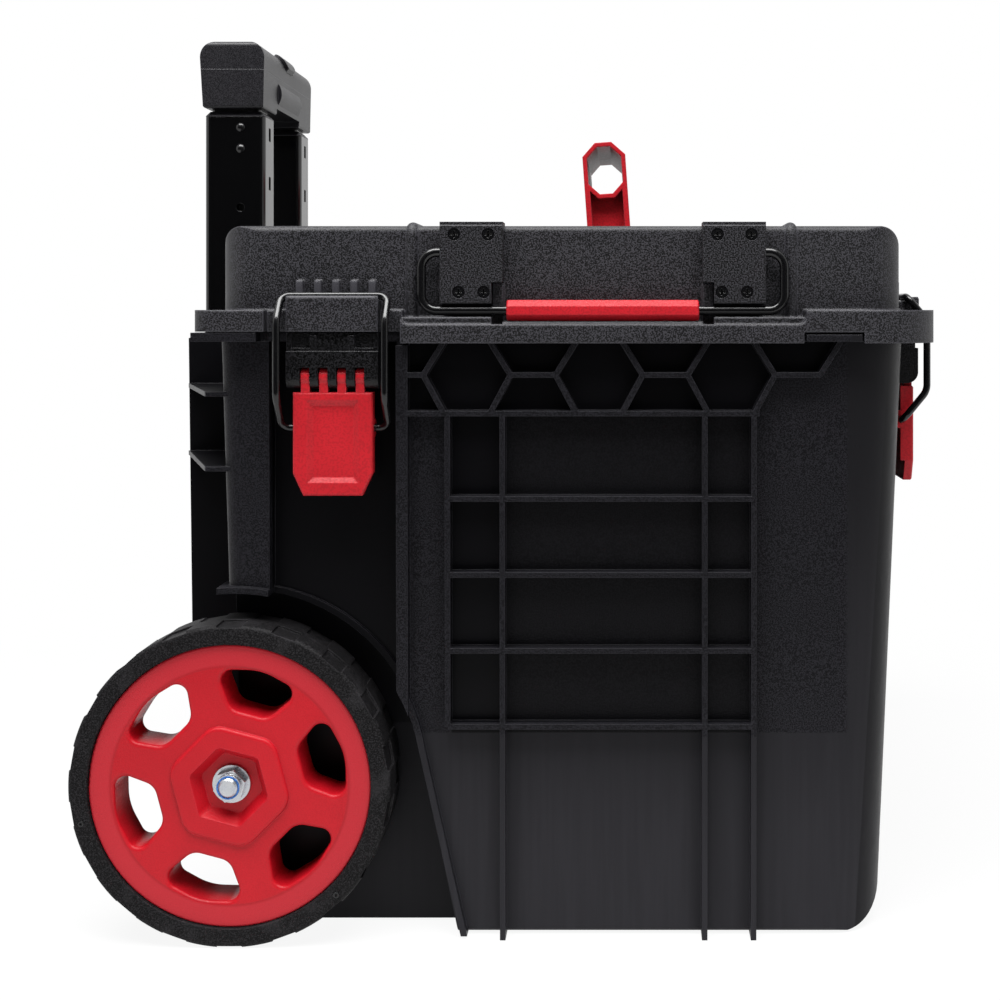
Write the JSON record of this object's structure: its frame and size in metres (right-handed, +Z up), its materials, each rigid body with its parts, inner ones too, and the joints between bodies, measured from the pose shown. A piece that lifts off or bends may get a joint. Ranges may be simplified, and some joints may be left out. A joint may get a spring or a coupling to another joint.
{
  "type": "wheeled storage box",
  "caption": "Wheeled jobsite storage box: tapered ribbed tub, lift-off domed lid held by draw latches, telescopic tow handle, folding carry handles.",
  "frame": {"origin": "centre of the overall box on the floor", "axes": "+X to the front, away from the wheels; +Z up; Y across, symmetric about XZ"},
  "size_m": [0.5582, 0.5398, 0.6041],
  "materials": {
    "textured_black_plastic": "fine moulded grain, satin",
    "smooth_black_plastic": "satin",
    "seal_rubber": "matt",
    "tyre_rubber": "matt, fine grain",
    "grey_plastic": "satin",
    "red_plastic": "satin, fine grain",
    "gloss_black_tube": "gloss powder coat",
    "black_wire": "semi-gloss coat",
    "black_screw": "black oxide",
    "zinc_steel": "bright zinc plate"
  },
  "bodies": {
    "root": {"box_body": "textured_black_plastic", "lid_gasket": "seal_rubber", "axle": "zinc_steel", "axle_washers": "zinc_steel", "axle_spacers": "grey_plastic", "axle_nuts": "zinc_steel", "latch_pins": "zinc_steel", "latch_screws": "black_screw", "outer_tube_left": "gloss_black_tube", "outer_tube_right": "gloss_black_tube", "tube_collar_left": "smooth_black_plastic", "tube_collar_right": "smooth_black_plastic", "collar_rivets": "black_screw", "tube_screws": "black_screw", "latch_base_left": "textured_black_plastic", "latch_base_right": "textured_black_plastic", "latch_base_front_left": "textured_black_plastic", "latch_base_front_right": "textured_black_plastic"},
    "lid": {"lid": "textured_black_plastic", "plate_screws": "black_screw", "bail_plates_left": "textured_black_plastic", "bail_plates_right": "textured_black_plastic", "top_handle_pins": "zinc_steel"},
    "top_handle": {"top_handle": "red_plastic"},
    "side_handle_left": {"side_handle_wire_left": "black_wire", "side_handle_grip_left": "red_plastic"},
    "side_handle_right": {"side_handle_wire_right": "black_wire", "side_handle_grip_right": "red_plastic"},
    "tow_handle": {"inner_tube_left": "gloss_black_tube", "inner_tube_right": "gloss_black_tube", "tube_plug_left": "smooth_black_plastic", "tube_plug_right": "smooth_black_plastic", "grip_lower": "smooth_black_plastic", "grip_upper": "smooth_black_plastic", "lock_rods": "zinc_steel", "button_spring": "zinc_steel"},
    "release_button": {"release_button": "smooth_black_plastic"},
    "wheel_left": {"tyre_left": "tyre_rubber", "hub_left": "red_plastic", "hub_bushing_left": "grey_plastic"},
    "wheel_right": {"tyre_right": "tyre_rubber", "hub_right": "red_plastic", "hub_bushing_right": "grey_plastic"},
    "latch_lever_left": {"latch_lever_left": "red_plastic"},
    "latch_bail_left": {"latch_bail_left": "black_wire"},
    "latch_lever_right": {"latch_lever_right": "red_plastic"},
    "latch_bail_right": {"latch_bail_right": "black_wire"},
    "latch_lever_front_left": {"latch_lever_front_left": "red_plastic"},
    "latch_bail_front_left": {"latch_bail_front_left": "black_wire"},
    "latch_lever_front_right": {"latch_lever_front_right": "red_plastic"},
    "latch_bail_front_right": {"latch_bail_front_right": "black_wire"}
  },
  "joints": [
    {"name": "lid_lift", "type": "slide", "parent": "root", "child": "lid", "axis": [0, 0, 1], "range_m": [0, 0.24]},
    {"name": "top_handle_fold", "type": "hinge", "parent": "lid", "child": "top_handle", "pos_m": [0.0593, 0, 0.445], "axis": [0, 1, 0], "range_deg": [0, 94]},
    {"name": "side_handle_left_swing", "type": "hinge", "parent": "lid", "child": "side_handle_left", "pos_m": [0.0565, -0.2525, 0.4377], "axis": [-1, 0, 0], "range_deg": [0, 90]},
    {"name": "side_handle_right_swing", "type": "hinge", "parent": "lid", "child": "side_handle_right", "pos_m": [0.0565, 0.2525, 0.4377], "axis": [1, 0, 0], "range_deg": [0, 90]},
    {"name": "tow_handle_slide", "type": "slide", "parent": "root", "child": "tow_handle", "axis": [0, 0, 1], "range_m": [0, 0.38]},
    {"name": "release_button_press", "type": "slide", "parent": "tow_handle", "child": "release_button", "axis": [-0.7071, 0, -0.7071], "range_m": [0, 0.002], "stiffness_N_per_m": 500, "springref_m": -0.002, "deforming": ["button_spring"]},
    {"name": "wheel_left_spin", "type": "hinge", "parent": "root", "child": "wheel_left", "pos_m": [-0.1782, -0.2435, 0.1015], "axis": [0, 1, 0], "continuous": true},
    {"name": "wheel_right_spin", "type": "hinge", "parent": "root", "child": "wheel_right", "pos_m": [-0.1782, 0.2435, 0.1015], "axis": [0, 1, 0], "continuous": true},
    {"name": "latch_left_open", "type": "hinge", "parent": "root", "child": "latch_lever_left", "pos_m": [-0.114, -0.255, 0.3585], "axis": [-1, 0, 0], "range_deg": [0, 90]},
    {"name": "latch_left_bail", "type": "hinge", "parent": "latch_lever_left", "child": "latch_bail_left", "pos_m": [-0.114, -0.251, 0.326], "axis": [-1, 0, 0], "range_deg": [-63, 0]},
    {"name": "latch_right_open", "type": "hinge", "parent": "root", "child": "latch_lever_right", "pos_m": [-0.114, 0.255, 0.3585], "axis": [1, 0, 0], "range_deg": [0, 90]},
    {"name": "latch_right_bail", "type": "hinge", "parent": "latch_lever_right", "child": "latch_bail_right", "pos_m": [-0.114, 0.251, 0.326], "axis": [1, 0, 0], "range_deg": [-63, 0]},
    {"name": "latch_front_left_open", "type": "hinge", "parent": "root", "child": "latch_lever_front_left", "pos_m": [0.2636, -0.15, 0.3585], "axis": [0, -1, 0], "range_deg": [0, 90]},
    {"name": "latch_front_left_bail", "type": "hinge", "parent": "latch_lever_front_left", "child": "latch_bail_front_left", "pos_m": [0.2596, -0.15, 0.326], "axis": [0, -1, 0], "range_deg": [-63, 0]},
    {"name": "latch_front_right_open", "type": "hinge", "parent": "root", "child": "latch_lever_front_right", "pos_m": [0.2636, 0.15, 0.3585], "axis": [0, -1, 0], "range_deg": [0, 90]},
    {"name": "latch_front_right_bail", "type": "hinge", "parent": "latch_lever_front_right", "child": "latch_bail_front_right", "pos_m": [0.2596, 0.15, 0.326], "axis": [0, -1, 0], "range_deg": [-63, 0]}
  ],
  "couplings": [
    {"joint": "latch_left_bail", "follows": "latch_left_open", "ratio": -0.7},
    {"joint": "latch_right_bail", "follows": "latch_right_open", "ratio": -0.7},
    {"joint": "latch_front_left_bail", "follows": "latch_front_left_open", "ratio": -0.7},
    {"joint": "latch_front_right_bail", "follows": "latch_front_right_open", "ratio": -0.7}
  ]
}
